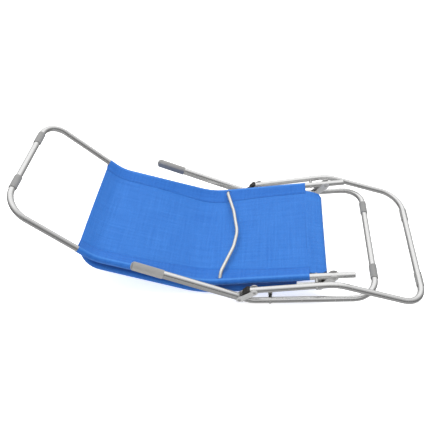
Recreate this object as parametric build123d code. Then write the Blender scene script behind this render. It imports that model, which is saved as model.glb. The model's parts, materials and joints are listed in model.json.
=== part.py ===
from build123d import *
import math
import os

# A full-length tip-back beach lounger, folded flat and lying on the floor with the back of its
# seat facing up. Millimetres. +X runs from the foot end to the leg loop, +Y is the sitter's left
# and +Z is up. The origin is on the floor, in the middle of the folded chair.
# Side profiles are pairs (x, z) laid out from the backrest hinge, then set down on the floor.

# Tubes
tube_d = 22.0
tube_wall = 1.2
inner_half = 235.0        # middle plane of the chair to the seat and backrest tubes
side_gap = 40.0           # seat tubes to the leg and support tubes outside them
loop_bend = 82.0          # bend radius of every loop corner
tube_r = tube_d / 2
outer_half = inner_half + side_gap

# Seat and leg rest, from the hinge forwards
seat_slope = 7.6
tail_len = 71.0           # behind the hinge, the stop for the open backrest
leg_pivot_back = 59.2     # hinge to leg pivot
seat_len = 469.0          # hinge to the bend under the knees
calf_len = 396.0
calf_slope = 18.25
foot_len = 351.0
foot_slope = 46.6
knee_bend = 250.0
ankle_bend = 140.0

# Backrest, folded underneath the seat
back_end_x, back_end_z = -36.0, -54.0
lumbar_len = 443.0
lumbar_slope = 6.7
shoulder_len = 453.0
shoulder_slope = 19.2
lumbar_bend = 250.0

# Leg frame, with the arm brackets on its upper ends
arm_pivot_x, arm_pivot_z = -326.0, -88.0
bracket_len = 57.6
bracket_slope = 46.0
leg_upper_len = 297.0
leg_lower_len = 326.5
leg_lower_slope = 18.8
leg_bend = 120.0

# Rear support frame with the armrests on its ends
support_pivot_x, support_pivot_z = -217.0, -100.0
support_len = 369.5
support_slope = 5.2
arm_slope = 24.3
arm_len = 400.0
arm_bend = 80.0
arm_height, arm_width, arm_wall = 32.0, 22.0, 1.4
arm_lap = 16.0            # armrest tube past the pivot, towards the support tube
spigot_len = 55.0         # swaged end of the support tube inside the armrest
cap_len = 112.0
cap_wall = 1.9

# Sling
cloth = 1.6
sleeve_gap = 0.15
front_hem_run = 68.0      # bend at the ankle to the front hem, along the foot tube
sleeve_end = 81.7         # hinge to the end of the sleeves, along the seat tube
fold_half = 192.0         # half width of the sling where it passes the hinge
fold_reach = 66.0         # how far the fold stands out past the sleeves
fold_bend = 13.0
fold_droop = 10.0         # slope of the free cloth, which sags past the sleeves
droop_start = 11.0        # end of the sleeves to where the sag begins
droop_bend = 60.0
back_sleeve_cut = 42.0    # how much sooner the sleeves end on the backrest

# Plates, rivets, glides and small parts
plate = 2.0
plate_gap = 0.3           # plate to tube, each side
plate_r = 12.0
hinge_plate_r = 14.0
rivet_r = 3.0
head_r = 5.5
head_h = 2.4
fixing_back = 14.0        # end of a tube to the rivet that fixes it between its plates
fit = 0.05                # radial clearance of a turning rivet
snug = 0.02               # radial clearance of a fixed rivet
face_gap = 0.3            # pieces that turn past each other, face to face
spacer_r = 6.0
glide_wall = 2.5
glide_len = 58.0
glide_opening = 100.0
sole_flat = 0.3
glide_r = tube_r + glide_wall
plug_len = 14.0
plug_gap = 0.1
plug_flange = 1.5
lug = 3.0
lug_r = 8.5
rod_r = 6.0
rod_station = 403.6       # hinge to the spreader rod, along the seat tube
rod_peg, rod_peg_dip = 3.0, 2.0
rod_knuckle_in, rod_knuckle_rise, rod_knuckle_back = 29.0, 20.8, 4.0
rod_bow = (32.0, 53.0, 44.0)    # how far the rod bows out, from left to right
rod_bow_share = 0.4
rod_off_centre = 20.0
rod_rise = 31.8


def step(point, length, angle):
    """The point reached from another by going a length at an angle, in the side profile."""
    turn = math.radians(angle)
    return (point[0] + length * math.cos(turn), point[1] + length * math.sin(turn))


def slope(start, end):
    """The angle of the line from one profile point to another."""
    return math.degrees(math.atan2(end[1] - start[1], end[0] - start[0]))


def meet(point, angle, other, other_angle):
    """Where two lines of the side profile cross."""
    a, b = math.radians(angle), math.radians(other_angle)
    dx, dz = other[0] - point[0], other[1] - point[1]
    run = (dx * math.sin(b) - dz * math.cos(b)) / math.sin(b - a)
    return step(point, run, angle)


# Side profiles from the hinge, before they are set on the floor
seat_back_way = 180 + seat_slope
tail_0 = step((0, 0), tail_len, seat_slope)
leg_pivot_0 = step((0, 0), leg_pivot_back, seat_back_way)
rod_0 = step((0, 0), rod_station, seat_back_way)
sleeve_end_0 = step((0, 0), sleeve_end, seat_back_way)
knee_0 = step((0, 0), seat_len, seat_back_way)
ankle_0 = step(knee_0, calf_len, 180 - calf_slope)
front_hem_0 = step(ankle_0, front_hem_run, 180 - foot_slope)
foot_0 = step(ankle_0, foot_len, 180 - foot_slope)
back_end_0 = (back_end_x, back_end_z)
lumbar_0 = step(back_end_0, lumbar_len, 180 + lumbar_slope)
top_0 = step(lumbar_0, shoulder_len, 180 - shoulder_slope)
arm_pivot_0 = (arm_pivot_x, arm_pivot_z)
leg_end_0 = step(arm_pivot_0, bracket_len, bracket_slope)
leg_slope = slope(leg_end_0, leg_pivot_0)
leg_kink_0 = step(leg_end_0, leg_upper_len, leg_slope)
leg_foot_0 = step(leg_kink_0, leg_lower_len, -leg_lower_slope)
support_pivot_0 = (support_pivot_x, support_pivot_z)
support_foot_0 = step(support_pivot_0, support_len, support_slope)
arm_way = 180 - arm_slope
origin_x = (foot_0[0] + leg_foot_0[0]) / 2
floor_z = leg_foot_0[1] - glide_r + sole_flat


def down(point):
    """A profile point, moved from the hinge's frame to the chair's."""
    return (point[0] - origin_x, point[1] - floor_z)


hinge = down((0, 0))
tail = down(tail_0)
leg_pivot = down(leg_pivot_0)
rod_hole = down(rod_0)
seat_sleeve_end = down(sleeve_end_0)
knee = down(knee_0)
ankle = down(ankle_0)
front_hem = down(front_hem_0)
foot = down(foot_0)
back_end = down(back_end_0)
lumbar = down(lumbar_0)
top = down(top_0)
arm_pivot = down(arm_pivot_0)
leg_end = down(leg_end_0)
leg_kink = down(leg_kink_0)
leg_foot = down(leg_foot_0)
support_pivot = down(support_pivot_0)
support_foot = down(support_foot_0)
arm_corner = meet(arm_pivot, arm_way, support_pivot, support_slope)
back_way = slope(lumbar, back_end)
back_panel_end = meet(back_end, back_way, seat_sleeve_end, 90)
back_sleeve_end = step(back_panel_end, -back_sleeve_cut, back_way)


def at_side(point, y=0.0):
    """A profile point in space, at a distance from the chair's middle plane."""
    return Vector(point[0], y, point[1])


def both_sides(points, half):
    """The points of a U-shaped frame: down its left side and back up its right side."""
    left = [at_side(p, half) for p in points]
    return left + [at_side(p, -half) for p in reversed(points)]


def swept(path, section):
    """A section swept along a path from its start."""
    return sweep(Plane(origin=path @ 0, z_dir=path % 0) * section, path=path)


def ring(outer, wall):
    return Circle(outer) - Circle(outer - wall)


def u_tube(points, bends, half, outer, wall):
    """A U-shaped bent tube. The bends are those of one side, then the loop's corner."""
    radii = bends + [loop_bend, loop_bend] + bends[::-1]
    path = FilletPolyline(*both_sides(points, half), radius=radii)
    return swept(path, ring(outer, wall))


def across(point, y_from, y_to, radius):
    """A cylinder that runs across the chair, from one distance to another."""
    base = Plane(origin=at_side(point, y_from), z_dir=(0, 1, 0))
    lift = (Align.CENTER, Align.CENTER, Align.MIN)
    return base * Cylinder(radius, y_to - y_from, align=lift)


def along(point, angle, y, radius, start, end):
    """A cylinder in line with a tube, between two distances from a profile point."""
    base = step(point, start, angle)
    turn = math.radians(angle)
    plane = Plane(origin=at_side(base, y), z_dir=(math.cos(turn), 0, math.sin(turn)))
    lift = (Align.CENTER, Align.CENTER, Align.MIN)
    return plane * Cylinder(radius, end - start, align=lift)


def rivet_head(point, y, way, radius):
    """A domed head that stands on a face at y, outwards if way is 1 and inwards if it is -1."""
    dome = Cylinder(radius, head_h, align=(Align.CENTER, Align.CENTER, Align.MIN))
    dome = fillet(dome.edges().sort_by(Axis.Z)[-1], head_h * 0.7)
    return Plane(origin=at_side(point, y), z_dir=(0, way, 0)) * dome


def blind_rivet(point, y_in, y_out, head=head_r):
    """A shank across the chair with one domed head, on its outer face."""
    return across(point, y_in, y_out, rivet_r) + rivet_head(point, y_out, 1, head)


def rivet(point, y_in, y_out, head=head_r):
    """A shank across the chair with a domed head on each of its two faces."""
    return blind_rivet(point, y_in, y_out, head) + rivet_head(point, y_in, -1, head)


def hull_prism(circles, y_from, y_to):
    """A flat piece whose outline is wrapped round circles of the side profile."""
    edges = []
    for point, radius in circles:
        edges += (Pos(point[0], point[1]) * Circle(radius)).edges()
    face = make_face(make_hull(edges))
    flat = Plane(origin=(0, y_from, 0), x_dir=(1, 0, 0), z_dir=(0, -1, 0))
    return extrude(flat * face, amount=-(y_to - y_from))


def seat_frame():
    """The seat and leg rest tube, closed at the foot loop and open at its two tails."""
    body = u_tube([tail, knee, ankle, foot], [knee_bend, ankle_bend], inner_half, tube_r, tube_wall)
    for side in (1, -1):
        y_in, y_out = sorted((side * (inner_half - tube_d), side * (inner_half + tube_d)))
        body -= across(hinge, y_in, y_out, rivet_r + fit)
        body -= across(leg_pivot, y_in, y_out, rivet_r + snug)
    return body - spreader(rod_r + plug_gap)


def backrest_frame():
    """The backrest tube, closed at the top bar, with its ends riveted into the hinge plates."""
    body = u_tube([back_end, lumbar, top], [lumbar_bend], inner_half, tube_r, tube_wall)
    for side in (1, -1):
        y_in, y_out = sorted((side * (inner_half - tube_d), side * (inner_half + tube_d)))
        body -= across(back_fixing, y_in, y_out, rivet_r + snug)
        body -= across(lug_top, y_in, y_out, rivet_r + snug)
    return body


def leg_frame():
    """The leg tube, closed at the leg loop, with its upper ends riveted into the arm plates."""
    body = u_tube([leg_end, leg_kink, leg_foot], [leg_bend], outer_half, tube_r, tube_wall)
    for side in (1, -1):
        y_in, y_out = sorted((side * (outer_half - tube_d), side * (outer_half + tube_d)))
        body -= across(leg_fixing, y_in, y_out, rivet_r + snug)
        body -= across(leg_pivot, y_in, y_out, rivet_r + fit)
    return body


def spigot(y):
    """The swaged end of a support tube, with the shoulder that closes on the full tube."""
    outer = arm_width / 2 - arm_wall - plug_gap
    inner = outer - tube_wall
    start = -arm_lap - plate
    body = along(arm_pivot, arm_way, y, outer, start, spigot_len)
    body += along(arm_pivot, arm_way, y, tube_r, start, -arm_lap - face_gap)
    return body - along(arm_pivot, arm_way, y, inner, start - 1, spigot_len + 1)


def rear_support_frame():
    """The support tube, closed at its loop, with swaged ends that carry the armrests."""
    upper = step(arm_pivot, -arm_lap - plate, arm_way)
    body = u_tube([upper, arm_corner, support_foot], [arm_bend], outer_half, tube_r, tube_wall)
    for side in (1, -1):
        body += spigot(side * outer_half)
        y_in, y_out = sorted((side * (outer_half - tube_d), side * (outer_half + tube_d)))
        body -= across(arm_pivot, y_in, y_out, rivet_r + fit)
        body -= across(arm_fixing, y_in, y_out, rivet_r + snug)
        body -= across(support_pivot, y_in, y_out, rivet_r + snug)
    return body


def spreader(radius):
    """The bowed rod that holds the seat tubes apart, with its ends pegged into them."""
    x, z = rod_hole
    peg = inner_half + rod_peg
    knuckle = inner_half - rod_knuckle_in
    bow = inner_half * rod_bow_share
    points = [
        Vector(x, peg, z - rod_peg_dip),
        Vector(x, knuckle, z + rod_knuckle_rise),
        Vector(x + rod_bow[0], bow, z + rod_rise),
        Vector(x + rod_bow[1], -rod_off_centre, z + rod_rise + 1),
        Vector(x + rod_bow[2], -bow, z + rod_rise),
        Vector(x + rod_knuckle_back, -knuckle, z + rod_knuckle_rise),
        Vector(x, -peg, z - rod_peg_dip),
    ]
    path = FilletPolyline(*points, radius=[40, 110, 140, 110, 40])
    return swept(path, Circle(radius))


def cloth_panel(points, bends, half):
    """A flat width of the sling that follows a side profile."""
    path = FilletPolyline(*[at_side(p) for p in points], radius=bends)
    plane = Plane(origin=path @ 0, x_dir=(0, 1, 0), z_dir=path % 0)
    return sweep(plane * Rectangle(2 * half, cloth), path=path)


sleeve_inner = tube_r + sleeve_gap
sleeve_outer = sleeve_inner + cloth
sleeve_mid = (sleeve_inner + sleeve_outer) / 2
panel_half = inner_half - sleeve_mid


def seat_sling():
    """The seat's length of the sling, with its sleeves on the seat tubes and slits for the rod."""
    points = [front_hem, ankle, knee, seat_sleeve_end]
    body = cloth_panel(points, [ankle_bend, knee_bend], panel_half)
    for side in (1, -1):
        y = side * inner_half
        path = FilletPolyline(*[at_side(p, y) for p in points], radius=[ankle_bend, knee_bend])
        body += swept(path, ring(sleeve_outer, cloth))
    return body - spreader(rod_r + 0.6)


def backrest_sling():
    """The backrest's length of the sling, sleeved round the sides and the top bar."""
    points = [back_sleeve_end, lumbar, top]
    below_bar = step(top, sleeve_mid, -shoulder_slope)
    panel = cloth_panel([back_panel_end, lumbar, below_bar], [lumbar_bend], panel_half)
    corners = panel.edges().filter_by(lambda e: e.length < cloth * 1.5).sort_by(Axis.X)[:2]
    panel = fillet(corners, loop_bend - sleeve_mid)
    body = panel + u_tube(points, [lumbar_bend], inner_half, sleeve_outer, cloth)
    for side in (1, -1):
        y_in, y_out = sorted((side * inner_half, side * (inner_half + tube_d)))
        body -= across(lug_top, y_in, y_out, rivet_r + sleeve_gap)
    return body


def sling_fold():
    """The narrow length of the sling that turns round between seat and backrest."""
    sag = step(seat_sleeve_end, droop_start, seat_slope)
    upper = meet(sag, -fold_droop, step(back_panel_end, fold_reach - 10, 0), 90)
    lower = meet(back_panel_end, back_way, step(back_panel_end, fold_reach, 0), 90)
    points = [seat_sleeve_end, sag, upper, lower, back_panel_end]
    return cloth_panel(points, [droop_bend, fold_bend, fold_bend], fold_half)


def glide(point, half, opening_way):
    """A C-shaped clip on a loop's crossbar, beside the left corner."""
    y_out = half - loop_bend - 2
    y_in = y_out - glide_len
    body = across(point, y_in, y_out, glide_r) - across(point, y_in, y_out, tube_r + fit)
    mouth = Plane(origin=at_side(point, y_in), x_dir=(1, 0, 0), z_dir=(0, 1, 0))
    reach = glide_r * 2
    a = math.radians(-opening_way)
    spread = math.radians(glide_opening / 2)
    corners = [
        (0, 0),
        (reach * math.cos(a - spread), reach * math.sin(a - spread)),
        (reach * math.cos(a + spread), reach * math.sin(a + spread)),
    ]
    wedge = mouth * make_face(Polyline(*corners, close=True))
    body -= extrude(wedge, amount=glide_len)
    edges = body.edges().filter_by(GeomType.CIRCLE)
    return chamfer(edges.filter_by(lambda e: e.radius > glide_r - 0.1), 0.6)


def leg_glide():
    """A leg loop's glide, flattened where it stands on the floor."""
    body = glide(leg_foot, outer_half, 90)
    return body - Pos(leg_foot[0], 0, -5) * Box(60, 4 * outer_half, 10)


def tail_plug():
    """The plug that closes a tail of the seat tube."""
    body = along(tail, seat_slope, inner_half, tube_r - tube_wall - plug_gap, -plug_len, 0)
    return body + along(tail, seat_slope, inner_half, tube_r, 0, plug_flange)


def plates(circles, half):
    """The outer and the inner plate of a bracket, either side of a tube."""
    near = tube_r + plate_gap
    outer = hull_prism(circles, half + near, half + near + plate)
    inner = hull_prism(circles, half - near - plate, half - near)
    return outer, inner


def drilled(pieces, points, half):
    """Plates with rivet holes through them."""
    reach = tube_d
    out = []
    for piece in pieces:
        for point in points:
            piece -= across(point, half - reach, half + reach, rivet_r + snug)
        out.append(piece)
    return out


def arm_block():
    """The stop between the arm plates, plugged into the end of the leg tube."""
    head = [(step(step(leg_end, -9, 0), 2, 90), 8.0), (step(step(arm_pivot, 17, 0), 30, 90), 6.0)]
    body = hull_prism(head, outer_half - tube_r, outer_half + tube_r)
    body -= along(leg_end, leg_slope, outer_half, tube_r, 0, 40)
    bore = tube_r - tube_wall - plug_gap
    return body + along(leg_end, leg_slope, outer_half, bore, -4, fixing_back - rivet_r - 1)


def hinge_block():
    """The stop between the hinge plates, plugged into the end of the backrest tube."""
    pad = step(step(back_end, 5.5, 0), 3.5, 90)
    body = across(pad, inner_half - tube_r, inner_half + tube_r, 9.0)
    body -= along(back_end, back_way, inner_half, tube_r, -30, 0)
    bore = tube_r - tube_wall - plug_gap
    return body + along(back_end, back_way, inner_half, bore, -(fixing_back - rivet_r - 1), 2)


def leg_spacer():
    """The bush between a seat tube and a leg tube."""
    y_in, y_out = inner_half + tube_r + snug, outer_half - tube_r - face_gap
    body = across(leg_pivot, y_in, y_out, spacer_r)
    return body - across(leg_pivot, y_in - 1, y_out + 1, rivet_r + snug)


def leg_rivet():
    """The long rivet that holds a leg tube to a seat tube."""
    return rivet(leg_pivot, inner_half - tube_r, outer_half + tube_r + face_gap)


def support_lug():
    """The lug on a backrest tube that the support frame turns on."""
    y_in = inner_half + sleeve_outer + face_gap
    body = hull_prism([(lug_top, lug_r), (support_pivot, lug_r - 1)], y_in, y_in + lug)
    return body - across(lug_top, y_in - 1, y_in + lug + 1, rivet_r + snug)


def support_pin():
    """The spacer pin on a lug. It ends just short of the support tube."""
    y_in = inner_half + sleeve_outer + face_gap + lug
    return across(support_pivot, y_in, outer_half - tube_r - face_gap, spacer_r)


def lug_rivet():
    """The rivet that fixes a lug to its backrest tube, through the sleeve."""
    outer = inner_half + sleeve_outer + face_gap + lug
    return blind_rivet(lug_top, inner_half + tube_r / 3, outer, head=rivet_r + 1.5)


def arm_section(grow=0.0):
    """The flat oval of the armrest tube, larger by a wall on each side if asked."""
    return SlotOverall(arm_height + 2 * grow, arm_width + 2 * grow)


def arm_plane(start):
    """The plane across the armrest at a distance from its pivot."""
    turn = math.radians(arm_way)
    origin = at_side(step(arm_pivot, start, arm_way), outer_half)
    return Plane(origin=origin, x_dir=(-math.sin(turn), 0, math.cos(turn)),
                 z_dir=(math.cos(turn), 0, math.sin(turn)))


def armrest():
    """An oval armrest tube over the swaged end of the support tube."""
    run = arm_lap + arm_len - cap_wall
    body = extrude(arm_plane(-arm_lap) * (arm_section() - arm_section(-arm_wall)), amount=run)
    y_in, y_out = outer_half - tube_d, outer_half + tube_d
    body -= across(arm_pivot, y_in, y_out, rivet_r + fit)
    return body - across(arm_fixing, y_in, y_out, rivet_r + snug)


def armrest_cap():
    """The rounded grip cap pushed over the end of an armrest."""
    start = arm_len - cap_len
    body = extrude(arm_plane(start) * arm_section(cap_wall), amount=cap_len + 4)
    tip = arm_plane(arm_len + 4).location.position
    rim = body.faces().sort_by_distance(tip)[0].edges()
    body = fillet(rim, 11.5)
    return body - extrude(arm_plane(start) * arm_section(plug_gap), amount=cap_len)


def arm_fixing_rivet():
    """The rivet that keeps an armrest on its spigot."""
    return rivet(arm_fixing, outer_half - tube_r, outer_half + tube_r, head=rivet_r + 1.5)


def support_rivet():
    """The rivet through a support tube, in line with the pin of the lug."""
    return blind_rivet(support_pivot, outer_half - tube_r, outer_half + tube_r)


# Rivet places that follow from the profiles
back_fixing = step(back_end, -fixing_back, back_way)
leg_fixing = step(leg_end, fixing_back, leg_slope)
arm_fixing = step(arm_pivot, spigot_len * 0.6, arm_way)
lug_top = meet(back_end, back_way, support_pivot, 90)
hinge_outline = [(hinge, hinge_plate_r), (step(back_end, -8, back_way), plate_r)]
arm_outline = [(arm_pivot, plate_r), (leg_fixing, plate_r)]
hinge_outer, hinge_inner = drilled(
    plates(hinge_outline, inner_half), [hinge, back_fixing], inner_half)
arm_outer, arm_inner = drilled(plates(arm_outline, outer_half), [arm_pivot, leg_fixing], outer_half)
plate_out = tube_r + plate_gap + plate

# Pieces that span the chair
nodes = {
    "seat_frame": seat_frame(),
    "seat_sling": seat_sling(),
    "spreader_rod": spreader(rod_r),
    "backrest_frame": backrest_frame(),
    "backrest_sling": backrest_sling(),
    "sling_fold": sling_fold(),
    "leg_frame": leg_frame(),
    "rear_support_frame": rear_support_frame(),
}

# Pieces that come in pairs, drawn on the left side
pairs = {
    "seat_tail_plug": tail_plug(),
    "foot_glide": glide(foot, inner_half, -90),
    "leg_spacer": leg_spacer(),
    "leg_pivot_rivet": leg_rivet(),
    "hinge_plate_outer": hinge_outer,
    "hinge_plate_inner": hinge_inner,
    "hinge_block": hinge_block(),
    "hinge_pivot_rivet": rivet(hinge, inner_half - plate_out, inner_half + plate_out),
    "hinge_fixing_rivet": rivet(back_fixing, inner_half - plate_out, inner_half + plate_out),
    "support_lug": support_lug(),
    "support_pin": support_pin(),
    "lug_rivet": lug_rivet(),
    "leg_glide": leg_glide(),
    "arm_plate_outer": arm_outer,
    "arm_plate_inner": arm_inner,
    "arm_block": arm_block(),
    "arm_pivot_rivet": rivet(arm_pivot, outer_half - plate_out, outer_half + plate_out),
    "leg_fixing_rivet": rivet(leg_fixing, outer_half - plate_out, outer_half + plate_out),
    "support_glide": glide(support_foot, outer_half, -90),
    "armrest": armrest(),
    "armrest_cap": armrest_cap(),
    "armrest_rivet": arm_fixing_rivet(),
    "support_rivet": support_rivet(),
}
for name, piece in pairs.items():
    nodes[name + "_left"] = piece
    nodes[name + "_right"] = mirror(piece, about=Plane.XZ)

os.makedirs("parts", exist_ok=True)
for name, piece in nodes.items():
    export_step(piece, os.path.join("parts", name + ".step"))

for name, point in (("hinge", hinge), ("leg_pivot", leg_pivot), ("arm_pivot", arm_pivot),
                    ("support_pivot", support_pivot), ("leg_foot", leg_foot)):
    print(name, round(point[0], 3), round(point[1], 3))
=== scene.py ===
import json
import math
import bpy
import bmesh
from mathutils import Matrix, Vector
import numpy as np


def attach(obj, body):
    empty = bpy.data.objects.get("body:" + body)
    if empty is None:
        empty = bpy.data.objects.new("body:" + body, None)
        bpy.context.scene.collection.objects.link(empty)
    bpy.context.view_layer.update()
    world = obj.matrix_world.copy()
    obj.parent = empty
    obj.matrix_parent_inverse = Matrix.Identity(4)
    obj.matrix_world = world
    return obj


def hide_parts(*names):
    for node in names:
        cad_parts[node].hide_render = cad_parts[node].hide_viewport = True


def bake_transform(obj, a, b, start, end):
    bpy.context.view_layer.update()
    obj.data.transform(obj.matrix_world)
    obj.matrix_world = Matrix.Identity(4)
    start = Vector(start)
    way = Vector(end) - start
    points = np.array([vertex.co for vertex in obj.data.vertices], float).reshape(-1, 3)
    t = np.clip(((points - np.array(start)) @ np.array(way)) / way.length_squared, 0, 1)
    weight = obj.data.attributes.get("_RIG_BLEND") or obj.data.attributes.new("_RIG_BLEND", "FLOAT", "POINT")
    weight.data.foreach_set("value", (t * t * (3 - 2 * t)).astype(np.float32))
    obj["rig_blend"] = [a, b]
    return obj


# A full-length sling beach lounger, folded flat, with the back of its seat facing up.
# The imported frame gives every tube, plate, rivet and glide its place. Metres.
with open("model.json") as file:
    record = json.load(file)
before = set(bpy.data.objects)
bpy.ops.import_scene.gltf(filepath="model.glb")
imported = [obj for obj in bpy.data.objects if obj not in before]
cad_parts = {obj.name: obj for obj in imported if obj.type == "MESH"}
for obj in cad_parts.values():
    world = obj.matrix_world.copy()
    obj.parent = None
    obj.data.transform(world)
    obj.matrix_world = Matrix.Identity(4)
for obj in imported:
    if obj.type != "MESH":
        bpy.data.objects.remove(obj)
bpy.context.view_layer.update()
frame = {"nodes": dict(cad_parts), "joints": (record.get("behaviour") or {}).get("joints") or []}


# ---- Tubes --------------------------------------------------------------------------------
# Four frames and two armrests of aluminium tube. Each is drawn, bent cold in one piece and
# polished, and keeps faint die lines, a little haze from handling and a few specks.
class Value:
    """A shader socket that can stand in an expression, such as 1 - mask."""

    def __init__(self, nodes, socket):
        self.nodes = nodes
        self.socket = socket

    def maths(self, operation, a, b=0.0):
        return self.nodes.node("ShaderNodeMath", {"operation": operation}, {0: a, 1: b})

    def __add__(self, other):
        return self.maths("ADD", self, other)

    def __radd__(self, other):
        return self.maths("ADD", other, self)

    def __sub__(self, other):
        return self.maths("SUBTRACT", self, other)

    def __rsub__(self, other):
        return self.maths("SUBTRACT", other, self)

    def __mul__(self, other):
        return self.maths("MULTIPLY", self, other)

    def __rmul__(self, other):
        return self.maths("MULTIPLY", other, self)

    def __abs__(self):
        return self.maths("ABSOLUTE", self)

    def wave(self, length):
        """A sine of this value with the given wavelength, from -1 to 1."""
        return self.maths("SINE", self * (2 * math.pi / length))

    def above(self, edge, soft):
        """0 below an edge and 1 above it, with a soft step between."""
        return self.nodes.node(
            "ShaderNodeMapRange", {"interpolation_type": "SMOOTHSTEP"},
            {0: self, 1: edge - soft, 2: edge + soft, 3: 0.0, 4: 1.0})


class Nodes:
    """The nodes of a material or of the studio's surroundings."""

    def __init__(self, owner, surface):
        owner.use_nodes = True
        self.owner = owner
        self.tree = owner.node_tree
        self.surface = self.tree.nodes[surface]

    def node(self, kind, settings, inputs, output=0):
        """Adds a node. Its settings are set first, then the values or links of its sockets."""
        made = self.tree.nodes.new(kind)
        for name, value in settings.items():
            if name == "stops":
                ramp = made.color_ramp.elements
                while len(ramp) < len(value):
                    ramp.new(0.5)
                for stop, (place, level) in zip(ramp, value):
                    stop.position = place
                    stop.color = (level, level, level, 1.0)
            else:
                setattr(made, name, value)
        self.join(made, inputs)
        return Value(self, made.outputs[output])

    def join(self, made, inputs):
        for name, value in inputs.items():
            if isinstance(value, Value):
                self.tree.links.new(value.socket, made.inputs[name])
            else:
                made.inputs[name].default_value = value

    def noise(self, place, scale, detail=3.0):
        return self.node("ShaderNodeTexNoise", {}, {
            "Vector": place, "Scale": scale, "Detail": detail})

    def object_place(self):
        return self.node("ShaderNodeTexCoord", {}, {}, 3)

    def stretched(self, place, scale):
        """A place scaled differently along its three axes."""
        return self.node("ShaderNodeMapping", {}, {"Vector": place, "Scale": scale})

    def mix(self, share, low, high):
        """A colour between two others."""
        low = low if isinstance(low, Value) else (*low, 1.0)
        high = high if isinstance(high, Value) else (*high, 1.0)
        return self.node("ShaderNodeMix", {"data_type": "RGBA"}, {0: share, 6: low, 7: high}, 2)

    def bump(self, height, distance):
        return self.node("ShaderNodeBump", {}, {"Distance": distance, "Height": height})

    def done(self, **sockets):
        """Sets the surface's sockets by name, with _ for a space, and returns the owner."""
        self.join(self.surface, {name.replace("_", " "): v for name, v in sockets.items()})
        return self.owner


def new_finish(name):
    return Nodes(bpy.data.materials.new(name), "Principled BSDF")


def finish_nodes(material, *names):
    """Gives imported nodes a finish."""
    for name in names:
        node = frame["nodes"][name]
        node.data.materials.clear()
        node.data.materials.append(material)


def both(*names):
    """The left and right node of each pair."""
    return [f"{name}_{side}" for name in names for side in ("left", "right")]


def bright_tube():
    finish = new_finish("bright_tube")
    place = finish.object_place()
    haze = finish.noise(place, 14.0, 4.0)
    grain = finish.noise(place, 420.0, 2.0)
    specks = finish.noise(place, 170.0, 1.0).above(0.72, 0.03)
    tone = finish.mix(haze, (0.77, 0.77, 0.77), (0.89, 0.89, 0.88))
    return finish.done(
        Base_Color=finish.mix(specks * 0.4, tone, (0.40, 0.40, 0.40)),
        Roughness=0.17 + haze * 0.12 + specks * 0.2,
        Metallic=1.0,
        Normal=finish.bump(grain, 0.00003))


finish_nodes(bright_tube(), "seat_frame", "backrest_frame", "leg_frame", "rear_support_frame",
             *both("armrest"))


# ---- Plates, rivets and bushes ------------------------------------------------------------
# Pressed steel side plates with a zinc finish, bright steel rivets with domed heads, duller
# bushes between seat and legs, and dark pins between backrest and rear support.
def zinc_plate():
    finish = new_finish("zinc_plate")
    place = finish.object_place()
    cloud = finish.noise(place, 55.0, 4.0)
    grain = finish.noise(place, 700.0, 2.0)
    scratch = finish.noise(finish.stretched(place, (60.0, 900.0, 900.0)), 1.0, 1.0)
    return finish.done(
        Base_Color=finish.mix(cloud, (0.60, 0.60, 0.60), (0.76, 0.76, 0.75)),
        Roughness=0.26 + cloud * 0.16 + scratch * 0.08,
        Metallic=0.55,
        Normal=finish.bump(grain, 0.00004))


def turned_metal(name, dark, light):
    finish = new_finish(name)
    mark = finish.noise(finish.object_place(), 260.0, 3.0)
    return finish.done(
        Base_Color=finish.mix(mark, dark, light),
        Roughness=0.18 + mark * 0.14,
        Metallic=1.0,
        Normal=finish.bump(mark, 0.00005))


finish_nodes(zinc_plate(), *both("hinge_plate_outer", "hinge_plate_inner", "arm_plate_outer",
                                 "arm_plate_inner", "support_lug"))
finish_nodes(turned_metal("rivet_steel", (0.68, 0.68, 0.68), (0.90, 0.90, 0.89)),
             *both("hinge_pivot_rivet", "hinge_fixing_rivet", "lug_rivet", "arm_pivot_rivet",
                   "leg_fixing_rivet", "leg_pivot_rivet", "armrest_rivet", "support_rivet"))
finish_nodes(turned_metal("bush_steel", (0.44, 0.44, 0.44), (0.60, 0.60, 0.59)),
             *both("leg_spacer"))
finish_nodes(turned_metal("pin_steel", (0.08, 0.08, 0.08), (0.16, 0.16, 0.155)),
             *both("support_pin"))


# ---- Spreader rod -------------------------------------------------------------------------
# A bowed steel rod with an off-white coating that keeps a metal gleam. Its ends are pegged
# into both seat tubes, so that the sling can't pull them together.
def rod_coat():
    finish = new_finish("rod_coat")
    place = finish.object_place()
    peel = finish.noise(place, 240.0, 2.0)
    scuff = finish.noise(place, 30.0, 4.0)
    return finish.done(
        Base_Color=finish.mix(scuff, (0.70, 0.69, 0.66), (0.84, 0.83, 0.80)),
        Roughness=0.20 + scuff * 0.10,
        Metallic=0.7,
        Normal=finish.bump(peel, 0.00006))


finish_nodes(rod_coat(), "spreader_rod")


# ---- Glides, plugs, blocks and grips ------------------------------------------------------
# Injection moulded plastic: grey clips on the loops, grey plugs in the tails, paler grip caps
# with fine lengthwise ribs, and black stop blocks with wider ribs between the plates.
rib_height = 2.5


def moulding(name, dark, light, rough, rib_gap=0.0):
    """Moulded plastic. Its ribs, if any, run along the chair, a gap apart."""
    finish = new_finish(name)
    place = finish.object_place()
    flow = finish.noise(place, 18.0, 3.0)
    height = finish.noise(place, 900.0, 2.0)
    if rib_gap:
        rib = finish.node("ShaderNodeSeparateXYZ", {}, {0: place}, 1).wave(rib_gap)
        height = height + rib_height * rib
    return finish.done(
        Base_Color=finish.mix(flow, dark, light),
        Roughness=rough + flow * 0.12,
        Normal=finish.bump(height, 0.00012))


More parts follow.
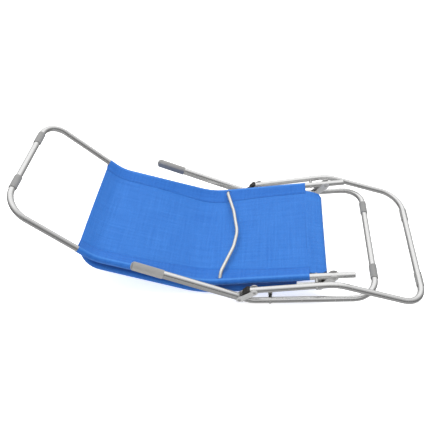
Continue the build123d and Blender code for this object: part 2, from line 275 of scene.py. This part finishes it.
finish_nodes(
    moulding("grey_moulding", (0.20, 0.20, 0.20), (0.27, 0.27, 0.265), rough=0.42),
    *both("foot_glide", "leg_glide", "support_glide", "seat_tail_plug"))
finish_nodes(
    moulding("grip_moulding", (0.272, 0.268, 0.260), (0.335, 0.331, 0.322), rough=0.45,
             rib_gap=0.0026),
    *both("armrest_cap"))
finish_nodes(
    moulding("black_moulding", (0.008, 0.007, 0.006), (0.022, 0.020, 0.018), rough=0.36,
             rib_gap=0.0042),
    *both("hinge_block", "arm_block"))


# ---- Seat cloth ---------------------------------------------------------------------------
# One long sling of blue woven vinyl mesh. Along each side it goes round the seat tube and
# comes back over itself, and a lockstitched seam makes the sleeve, 40 mm in and more at the
# knees.
hinge_x, _, hinge_z = frame["joints"][0]["pos_m"]
seat_slope = math.radians(7.6)
calf_slope = math.radians(18.25)
foot_slope = math.radians(46.6)
sleeve_back = 0.0817
seat_run = 0.469
calf_run = 0.396
front_hem_run = 0.068
knee_bend = 0.250
ankle_bend = 0.140
tube_half = 0.235
sleeve_r = 0.0118
seam_in = 0.040
seam_swell = 0.016
swell_reach = 0.17
crest_run = 0.0788
flap_hem = 0.0055
flap_rise = 0.0011
cloth_thick = 0.0009
row_gap = 0.012
panel_steps = 30
sleeve_steps = 14
weld = 0.00001
crease_angle = math.radians(50)
double_least = 0.004
double_soft = 0.0008
groove_half, groove_soft = 0.0016, 0.0012
# The half width and soft edge of the painted highlight along each sleeve's crest.
highlight_half, highlight_soft = 0.0035, 0.003
weave_depth = 0.00028
slack_depth = 0.003
ripple_depth = 0.0016
ripple_along, ripple_across = 75, 22
thread_pitch = 0.0021
left = Vector((0.0, 1.0, 0.0))


def walk(point, run, angle):
    """The side-profile point reached by going a run at an angle."""
    return Vector((point.x + run * math.cos(angle), 0.0, point.z + run * math.sin(angle)))


def stations(corners, bends, spacing):
    """Places along a side profile with round corners: (point, heading, distance run)."""
    legs = [(b - a).normalized() for a, b in zip(corners, corners[1:])]
    headings = [math.atan2(leg.z, leg.x) for leg in legs]
    turns = [(after - before + math.pi) % (2 * math.pi) - math.pi
             for before, after in zip(headings, headings[1:])]
    out, run, place = [], 0.0, corners[0].copy()
    for i, leg in enumerate(legs):
        bending = i < len(bends)
        cut = bends[i] * math.tan(abs(turns[i]) / 2) if bending else 0.0
        length = (corners[i + 1] - place).length - cut
        steps = max(1, round(length / spacing))
        out += [(place + leg * length * k / steps, headings[i], run + length * k / steps)
                for k in range(steps)]
        place = place + leg * length
        run += length
        if bending:
            steps = max(2, round(abs(turns[i]) * bends[i] / spacing))
            side = Vector((-leg.z, 0.0, leg.x)) * math.copysign(bends[i], turns[i])
            centre = place + side
            for k in range(steps):
                angle = turns[i] * k / steps
                spoke = Matrix.Rotation(-angle, 3, "Y") @ -side
                out.append((centre + spoke, headings[i] + angle, run + bends[i] * abs(angle)))
            place = centre + Matrix.Rotation(-turns[i], 3, "Y") @ -side
            run += abs(turns[i]) * bends[i]
    return out + [(place, headings[-1], run)]


def sleeve_section(seam):
    """Points (out, height and two distances gone): from the seam, round the tube, and home over the seam.

    out is measured from the tube's axis, away from the panel. height is positive on the side
    where the cloth comes back. The last two are the distance gone along the cloth, and the same
    shifted so that the crest falls at crest_run, which the painted highlight along the crest follows."""
    reach = math.pi - math.acos(sleeve_r / seam)
    tangent = (sleeve_r * math.cos(reach), sleeve_r * math.sin(reach))
    going = [(-seam + (tangent[0] + seam) * t, -tangent[1] * t) for t in (0.0, 0.3, 0.65)]
    angles = [reach * (2 * k / sleeve_steps - 1) for k in range(sleeve_steps + 1)]
    round_tube = [(sleeve_r * math.cos(a), sleeve_r * math.sin(a)) for a in angles]
    coming = [(tangent[0] + (-seam - tangent[0]) * t, tangent[1] + (flap_rise - tangent[1]) * t)
              for t in (0.35, 0.7, 1.0)]
    points = going + round_tube + coming + [(-seam - flap_hem, flap_rise)]
    out, gone = [], 0.0
    for k, (x, z) in enumerate(points):
        gone += math.dist((x, z), points[k - 1]) if k else 0.0
        out.append((x, z, gone))
    crest = len(going) + round(sleeve_steps * (reach + math.pi / 2) / (2 * reach))
    shift = crest_run - out[crest][2]
    return [(x, z, gone, max(gone + shift, double_least * (gone > 0)))
            for x, z, gone in out]


def extruded_grid(bm, rows):
    """Rows of (point, across, along, from_seam), each extruded from the row before."""
    column = bm.verts.layers.int.get("column") or bm.verts.layers.int.new("column")
    values = [bm.verts.layers.float.get(name) or bm.verts.layers.float.new(name)
              for name in ("across", "along", "from_seam")]
    line = [bm.verts.new(cell[0]) for cell in rows[0]]
    for k, vert in enumerate(line):
        vert[column] = k
    edges = [bm.edges.new(pair) for pair in zip(line, line[1:])]
    for index, row in enumerate(rows):
        if index:
            geom = bmesh.ops.extrude_edge_only(bm, edges=edges)["geom"]
            line = [v for v in geom if isinstance(v, bmesh.types.BMVert)]
            line.sort(key=lambda v: v[column])
            new = set(line)
            edges = [e for e in geom if isinstance(e, bmesh.types.BMEdge)
                     and e.verts[0] in new and e.verts[1] in new]
        for vert, (point, *cell) in zip(line, row):
            vert.co = point
            for layer, value in zip(values, cell):
                vert[layer] = value


def cloth_piece(name, bm, material, thickness):
    """Welds the grids, lays out the weave, gives the cloth its thickness and makes the piece."""
    bmesh.ops.remove_doubles(bm, verts=bm.verts, dist=weld)
    bmesh.ops.recalc_face_normals(bm, faces=bm.faces)
    across, along = (bm.verts.layers.float[layer] for layer in ("across", "along"))
    weave_map = bm.loops.layers.uv.new("weave")
    for face in bm.faces:
        face.smooth = True
        for loop in face.loops:
            loop[weave_map].uv = (loop.vert[across], loop.vert[along])
    mesh = bpy.data.meshes.new(name)
    bm.to_mesh(mesh)
    bm.free()
    mesh.materials.append(material)
    piece = bpy.data.objects.new(name, mesh)
    piece.visible_glossy = False    # the cloth isn't mirrored in the bright tubes
    bpy.context.scene.collection.objects.link(piece)
    solid = piece.modifiers.new("thickness", "SOLIDIFY")
    solid.thickness = thickness
    solid.offset = 0.0
    depsgraph = bpy.context.evaluated_depsgraph_get()
    piece.data = bpy.data.meshes.new_from_object(piece.evaluated_get(depsgraph))
    piece.data.name = name
    piece.modifiers.clear()
    piece.data.set_sharp_from_angle(angle=crease_angle)
    return piece


def woven_vinyl():
    """Vinyl threads over and under, streaks both ways, darker where the cloth is double, and a painted
    highlight along each sleeve's crest.
    """
    finish = new_finish("woven_vinyl")
    weave_map = finish.node("ShaderNodeUVMap", {"uv_map": "weave"}, {})
    warp_way = finish.node("ShaderNodeSeparateXYZ", {}, {0: weave_map}, 0)
    weft_way = finish.node("ShaderNodeSeparateXYZ", {}, {0: weave_map}, 1)
    from_seam = finish.node("ShaderNodeAttribute", {"attribute_name": "from_seam"}, {}, 2)
    weave = 0.5 + 0.5 * (warp_way.wave(thread_pitch) * weft_way.wave(thread_pitch))
    warp_streak = finish.noise(finish.stretched(weave_map, (130.0, 6.0, 1.0)), 1.0, 2.0)
    weft_streak = finish.noise(finish.stretched(weave_map, (6.0, 130.0, 1.0)), 1.0, 2.0)
    cloud = finish.noise(finish.stretched(weave_map, (9.0, 9.0, 1.0)), 1.0, 4.0)
    tone = 0.9 * warp_streak + 0.9 * weft_streak + 0.5 * cloud - 0.65
    single = finish.mix(tone, (0.017, 0.128, 0.470), (0.041, 0.196, 0.600))
    double = finish.mix(tone, (0.012, 0.112, 0.445), (0.032, 0.172, 0.565))
    body = finish.mix(from_seam.above(0.0, double_soft), single, double)
    groove = 1.0 - abs(from_seam).above(groove_half, groove_soft)
    # Painted highlight: a lighter line along each sleeve's crest, where the lamps catch the top of the tube.
    crest = 1.0 - abs(from_seam - crest_run).above(highlight_half, highlight_soft)
    crest_highlighted = finish.mix(crest * 0.45, body, (0.085, 0.300, 0.74))
    lined = finish.mix(groove * 0.9, crest_highlighted, (0.007, 0.038, 0.19))
    thread = weave.above(0.14, 0.12)
    return finish.done(
        Base_Color=finish.mix(thread, (0.014, 0.070, 0.28), lined),
        Roughness=0.60 - 0.16 * thread,
        Specular_IOR_Level=0.28,
        Normal=finish.bump(weave + 0.4 * warp_streak + 0.4 * weft_streak, weave_depth))


seat_way = math.pi + seat_slope
hinge_point = Vector((hinge_x, 0.0, hinge_z))
seat_sleeve_end = walk(hinge_point, sleeve_back, seat_way)
knee = walk(hinge_point, seat_run, seat_way)
ankle = walk(knee, calf_run, math.pi - calf_slope)
front_hem = walk(ankle, front_hem_run, math.pi - foot_slope)
seat_path = stations([seat_sleeve_end, knee, ankle, front_hem], [knee_bend, ankle_bend], row_gap)
knee_run = seat_run - sleeve_back


def seat_seam(run):
    """How far inside the tube the seam is. It swings inwards at the knees."""
    return seam_in + seam_swell * math.exp(-((run - knee_run) / swell_reach) ** 2)


def seat_slack(y, run):
    """The cloth's gentle fullness between the seams, with small ripples near the seams."""
    crown = math.cos(math.pi * y / (2 * (tube_half - seat_seam(run))))
    ripple = math.sin(run * ripple_along + y * ripple_across) * crown * (1 - crown)
    return ripple_depth * ripple - slack_depth * crown


def seat_row(place, heading, run):
    """One row right across the seat cloth, from the left flap to the right flap."""
    up = Vector((math.sin(heading), 0.0, -math.cos(heading)))
    sleeve = sleeve_section(seat_seam(run))
    panel_half = tube_half - seat_seam(run)
    row = [(place + left * (tube_half + out) + up * height, panel_half + gone, run, highlight_gone)
           for out, height, gone, highlight_gone in sleeve[::-1]]
    for k in range(1, panel_steps):
        y = panel_half * (1 - 2 * k / panel_steps)
        row.append((place + left * y + up * seat_slack(y, run), y, run, abs(y) - panel_half))
    row += [(place - left * (tube_half + out) + up * height, -panel_half - gone, run, highlight_gone)
            for out, height, gone, highlight_gone in sleeve]
    return row


vinyl = woven_vinyl()
seat_bm = bmesh.new()
extruded_grid(seat_bm, [seat_row(*station) for station in seat_path])
seat_cloth = cloth_piece("seat_cloth", seat_bm, vinyl, cloth_thick)
sleeve = sleeve_section(seam_in)
panel_half = tube_half - seam_in
cloth_wide = 2 * (panel_half + sleeve[-1][2])
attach(seat_cloth, "seat")
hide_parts("seat_sling")


# ---- Backrest cloth -----------------------------------------------------------------------
# The other length of the sling. Its sleeve runs up one side of the backrest tube, round the
# top bar with both its corners, and down the other side.
hinge_to_back = Vector((-0.036, 0.0, -0.054))
back_end = hinge_point + hinge_to_back
lumbar_slope = math.radians(6.7)
shoulder_slope = math.radians(19.2)
lumbar_run = 0.443
shoulder_run = 0.453
lumbar_bend = 0.250
loop_bend = 0.082
back_sleeve_back = 0.0875
corner_steps = 10
lumbar = walk(back_end, lumbar_run, math.pi + lumbar_slope)
top_bar = walk(lumbar, shoulder_run, math.pi - shoulder_slope)
corner_start = walk(top_bar, loop_bend, -shoulder_slope)
back_sleeve_end = walk(back_end, back_sleeve_back, math.pi + lumbar_slope)
side_path = stations([back_sleeve_end, lumbar, corner_start], [lumbar_bend], row_gap)
corner_run = side_path[-1][2]
shoulder_way = (top_bar - corner_start).normalized()
shoulder_up = Vector((-shoulder_way.z, 0.0, shoulder_way.x))
# Places up the left side and round the corner: tube axis, way out, way down, distance run.
left_side = []
for place, heading, run in side_path[:-1]:
    down = Vector((-math.sin(heading), 0.0, math.cos(heading)))
    left_side.append((place + left * tube_half, left, down, run))
for k in range(corner_steps + 1):
    turn = math.pi / 2 * k / corner_steps
    out_way = left * math.cos(turn) + shoulder_way * math.sin(turn)
    centre = corner_start + left * (tube_half - loop_bend)
    left_side.append((centre + out_way * loop_bend, out_way, shoulder_up,
                      corner_run + loop_bend * turn))


def mirrored(vector):
    return Vector((vector.x, -vector.y, vector.z))


bar_run = left_side[-1][3]
bar_half = tube_half - loop_bend
bar_place, _, bar_down, _ = left_side[-1]
bar = [(mirrored(bar_place) + left * bar_half * 2 * (1 - k / panel_steps), shoulder_way,
        bar_down, bar_run + 2 * bar_half * k / panel_steps) for k in range(1, panel_steps)]
whole_run = 2 * bar_run + 2 * bar_half
right_side = [(mirrored(place), mirrored(out_way), mirrored(down), whole_run - run)
              for place, out_way, down, run in left_side[::-1]]
sleeve_rows = [[(place + out_way * out + down * height, gone, run, highlight_gone)
                for out, height, gone, highlight_gone in sleeve]
               for place, out_way, down, run in left_side + bar + right_side]
panel_rows = []
for place, out_way, _, run in left_side:
    edge = place - out_way * seam_in
    panel_rows.append([(Vector((edge.x, edge.y * (1 - 2 * k / panel_steps), edge.z)),
                        edge.y * (1 - 2 * k / panel_steps), run,
                        -min(k, panel_steps - k) * 2 * edge.y / panel_steps)
                       for k in range(panel_steps + 1)])

back_bm = bmesh.new()
extruded_grid(back_bm, sleeve_rows)
extruded_grid(back_bm, panel_rows)
back_cloth = cloth_piece("backrest_cloth", back_bm, vinyl, cloth_thick)
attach(back_cloth, "backrest")
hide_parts("backrest_sling")
back_long = corner_run + loop_bend - seam_in + sleeve[-1][2]


# ---- Fold of the cloth --------------------------------------------------------------------
# Past the sleeves the sling is cut narrower, with round shoulders that clear the hinges, and
# turns back on itself. It lies double while the chair is folded and opens out with the seat.
fold_x = 0.365
fold_bend = 0.013
fold_droop = math.radians(10)
fold_half = 0.190
shoulder_half = 0.210
shoulder_long = 0.060
fold_tuck = 0.005
fold_gap = 0.004
fold_ease = 0.030
fold_shift = 0.006
fold_thick = 0.9 * cloth_thick
back_way = math.atan2(back_end.z - lumbar.z, back_end.x - lumbar.x)
upper_start = walk(seat_sleeve_end, fold_tuck, seat_way)
lower_end = walk(back_sleeve_end, fold_tuck, math.pi + back_way)
upper_corner = walk(seat_sleeve_end, (fold_x - seat_sleeve_end.x) / math.cos(fold_droop),
                    -fold_droop)
lower_corner = walk(back_sleeve_end, (fold_x - back_sleeve_end.x) / math.cos(back_way), back_way)
fold_path = stations([upper_start, seat_sleeve_end, upper_corner, lower_corner, lower_end],
                     [fold_ease, fold_bend, fold_bend], fold_gap)
fold_long = fold_path[-1][2]


def fold_width(run):
    """Half the fold's width at a distance along it: full by the sleeves, rounding inwards."""
    from_sleeve = min(run, fold_long - run) - fold_tuck
    share = min(max(from_sleeve / shoulder_long, 0.0), 1.0)
    return fold_half + (shoulder_half - fold_half) * math.sqrt(1 - share * share)


fold_rows = []
for place, _, run in fold_path:
    half = fold_width(run)
    fold_rows.append([(place + left * (half * (1 - 2 * k / panel_steps) - fold_shift),
                       half * (1 - 2 * k / panel_steps), -run, -panel_half)
                      for k in range(panel_steps + 1)])
fold_bm = bmesh.new()
extruded_grid(fold_bm, fold_rows)
fold_cloth = cloth_piece("fold_cloth", fold_bm, vinyl, fold_thick)
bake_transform(fold_cloth, "backrest", "seat", start=tuple(back_sleeve_end),
         end=(back_sleeve_end.x, 0.0, seat_sleeve_end.z))
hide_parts("sling_fold")


# ---- Stitching ----------------------------------------------------------------------------
# A lockstitch of dark blue polyester thread along every sleeve seam, seen as short raised
# stitches in a row. It holds the sleeves shut round the tubes.
stitch_gap = 0.0048
stitch_long = 0.0034
stitch_thick = 0.0009


def thread():
    finish = new_finish("thread")
    ply = finish.noise(finish.object_place(), 1500.0, 2.0)
    return finish.done(
        Base_Color=finish.mix(ply, (0.006, 0.028, 0.13), (0.014, 0.060, 0.24)),
        Roughness=0.5 + ply * 0.2,
        Normal=finish.bump(ply, 0.0001))


def stitched(name, body, lines):
    """A row of stitches along each line of (point, way up)."""
    bm = bmesh.new()
    size = Matrix.Diagonal((stitch_long / 2, stitch_thick / 2, stitch_thick / 2, 1.0))
    places = []
    for line in lines:
        travelled, wanted = 0.0, 0.0
        for (a, up, *_), (b, *_) in zip(line, line[1:]):
            step = (b - a).length
            forward = (b - a).normalized()
            while wanted < travelled + step:
                place = a + forward * (wanted - travelled)
                turn = Matrix((forward, up.cross(forward), up)).transposed().to_4x4()
                places.append(Matrix.Translation(place) @ turn @ size)
                wanted += stitch_gap
            travelled += step
    for place in places:
        bmesh.ops.create_icosphere(bm, subdivisions=1, radius=1.0, matrix=place)
    for face in bm.faces:
        face.smooth = True
    mesh = bpy.data.meshes.new(name)
    bm.to_mesh(mesh)
    bm.free()
    mesh.materials.append(stitch_thread)
    piece = bpy.data.objects.new(name, mesh)
    bpy.context.scene.collection.objects.link(piece)
    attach(piece, body)


stitch_thread = thread()
seam_height = flap_rise + cloth_thick / 2
seat_seams = []
for side in (-1, 1):
    line = []
    for place, heading, run in seat_path:
        up = Vector((math.sin(heading), 0.0, -math.cos(heading)))
        seam_y = side * (tube_half - seat_seam(run))
        line.append((place + left * seam_y + up * seam_height, up))
    seat_seams.append(line)
stitched("seat_stitching", "seat", seat_seams)
back_seam = [(place - out_way * seam_in + down * seam_height, down)
             for place, out_way, down, run in left_side + bar + right_side]
stitched("backrest_stitching", "backrest", [back_seam])


# ---- Slits for the rod --------------------------------------------------------------------
# Where each end of the rod dives into a sleeve the cloth is slit lengthwise, and the slit is
# bound all round with the same dark thread, like a buttonhole.
# The opening in each ring is a flat dark disc on the uncut cloth, painted shade for the slit's shadowed
# inside.
rod_back = 0.4036
slit_in = 0.0127
slit_rise = 0.0093
slit_long = 0.024
slit_wide = 0.0160
binding_r = 0.0009
slit_tilt = math.radians(15.6)
slit_steps = 32
thread_sides = 8


def rod_slits():
    """Two bound slits: an oval ring of thread each, round a flat dark disc in the thread's finish that is
    painted shade for the slit's opening.
    """
    bm = bmesh.new()
    rod_place = walk(hinge_point, rod_back, seat_way)
    for side in (-1, 1):
        ring = bmesh.ops.create_circle(bm, segments=thread_sides, radius=binding_r)["verts"]
        bmesh.ops.rotate(bm, verts=ring, matrix=Matrix.Rotation(math.pi / 2, 3, "X"))
        bmesh.ops.translate(bm, verts=ring, vec=(slit_wide / 2, 0.0, 0.0))
        edges = list({edge for vert in ring for edge in vert.link_edges})
        bmesh.ops.spin(bm, geom=ring + edges, axis=(0, 0, 1), cent=(0, 0, 0),
                       angle=2 * math.pi, steps=slit_steps, use_merge=True)
        # Painted shade: a flat dark disc inside the ring stands for the shadowed inside of the slit, as the
        # cloth under it isn't cut.
        bmesh.ops.create_circle(bm, cap_ends=True, segments=slit_steps,
                                radius=slit_wide / 2)
        loop = [v for v in bm.verts if not v.tag]
        bmesh.ops.scale(bm, verts=loop, vec=(slit_long / slit_wide, 1.0, 1.0))
        place = rod_place + Vector((0.0, side * (tube_half - slit_in), slit_rise))
        bmesh.ops.transform(bm, verts=loop, matrix=Matrix.Translation(place) @
                            Matrix.Rotation(-seat_slope, 4, "Y") @
                            Matrix.Rotation(side * slit_tilt, 4, "X"))
        for vert in loop:
            vert.tag = True
    bmesh.ops.recalc_face_normals(bm, faces=bm.faces)
    for face in bm.faces:
        face.smooth = len(face.verts) == 4
    mesh = bpy.data.meshes.new("rod_slits")
    bm.to_mesh(mesh)
    bm.free()
    mesh.materials.append(stitch_thread)
    piece = bpy.data.objects.new("rod_slits", mesh)
    bpy.context.scene.collection.objects.link(piece)
    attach(piece, "seat")


rod_slits()


# ---- Camera, floor and light --------------------------------------------------------------
# A studio floor of white paper, lit from below like a light table, under wide soft lamps. The
# surroundings are bright behind and dim in front, which draws grey bands on bright tube.
camera_data = bpy.data.cameras.new("studio_camera")
camera_data.lens = 41.93
camera_data.sensor_width = 36.0
camera = bpy.data.objects.new("studio_camera", camera_data)
bpy.context.scene.collection.objects.link(camera)
camera_right = Vector((0.993, 0.091, -0.072)).normalized()
camera_back = camera_right.cross(Vector((-0.015, 0.715, 0.699))).normalized()
camera_up = camera_back.cross(camera_right)
camera_place = Vector((0.172, -1.318, 1.517))
camera.matrix_world = Matrix.Translation(camera_place) @ Matrix(
    (camera_right, camera_up, camera_back)).transposed().to_4x4()
bpy.context.scene.camera = camera
bpy.context.scene.view_settings.view_transform = "Standard"


floor_drop = 0.0006
floor_glow = 0.6


def paper():
    finish = new_finish("studio_paper")
    fibre = finish.noise(finish.object_place(), 3.0)
    return finish.done(
        Base_Color=finish.mix(fibre, (0.93, 0.93, 0.93), (0.96, 0.96, 0.96)),
        Roughness=0.9,
        Emission_Color=(1.0, 1.0, 1.0, 1.0),
        Emission_Strength=floor_glow)


floor_bm = bmesh.new()
bmesh.ops.create_grid(floor_bm, x_segments=1, y_segments=1, size=30.0)
floor_mesh = bpy.data.meshes.new("studio_floor")
floor_bm.to_mesh(floor_mesh)
floor_bm.free()
floor_mesh.materials.append(paper())
floor = bpy.data.objects.new("studio_floor", floor_mesh)
floor.location.z = -floor_drop
floor.visible_glossy = False
bpy.context.scene.collection.objects.link(floor)


def area_light(name, place, aim, size, power):
    """A soft rectangular light that faces a point."""
    data = bpy.data.lights.new(name, "AREA")
    data.shape = "RECTANGLE"
    data.size, data.size_y = size
    data.energy = power
    lamp = bpy.data.objects.new(name, data)
    lamp.location = place
    lamp.visible_glossy = False
    lamp.rotation_euler = (Vector(aim) - Vector(place)).to_track_quat("-Z", "Y").to_euler()
    bpy.context.scene.collection.objects.link(lamp)


area_light("overhead", (0.0, 0.8, 3.2), (0.0, 0.0, 0.1), (3.6, 2.2), 86.0)
area_light("front_fill", (-0.5, -2.8, 2.4), (0.0, 0.0, 0.1), (2.4, 1.2), 24.0)

world = bpy.data.worlds.new("studio")
bpy.context.scene.world = world
sky = Nodes(world, "Background")
sky_way = sky.node("ShaderNodeTexCoord", {}, {}, 0)
height = sky.node("ShaderNodeSeparateXYZ", {}, {0: sky_way}, 2)
behind = sky.node("ShaderNodeSeparateXYZ", {}, {0: sky_way}, 1)
beside = sky.node("ShaderNodeSeparateXYZ", {}, {0: sky_way}, 0)
sky_level = sky.node("ShaderNodeValToRGB", {"stops": (
    (0.0, 0.36), (0.10, 0.42), (0.25, 0.12), (0.41, 0.25), (0.62, 0.54), (0.74, 0.80),
    (0.84, 1.04))},
    {0: 0.5 + 0.42 * height + 0.25 * behind - 0.14 * abs(beside)})
seen = sky.node("ShaderNodeLightPath", {}, {}, 0)
sky.done(Color=sky.mix(seen, sky_level, (1.0, 1.0, 1.0)), Strength=1.0)
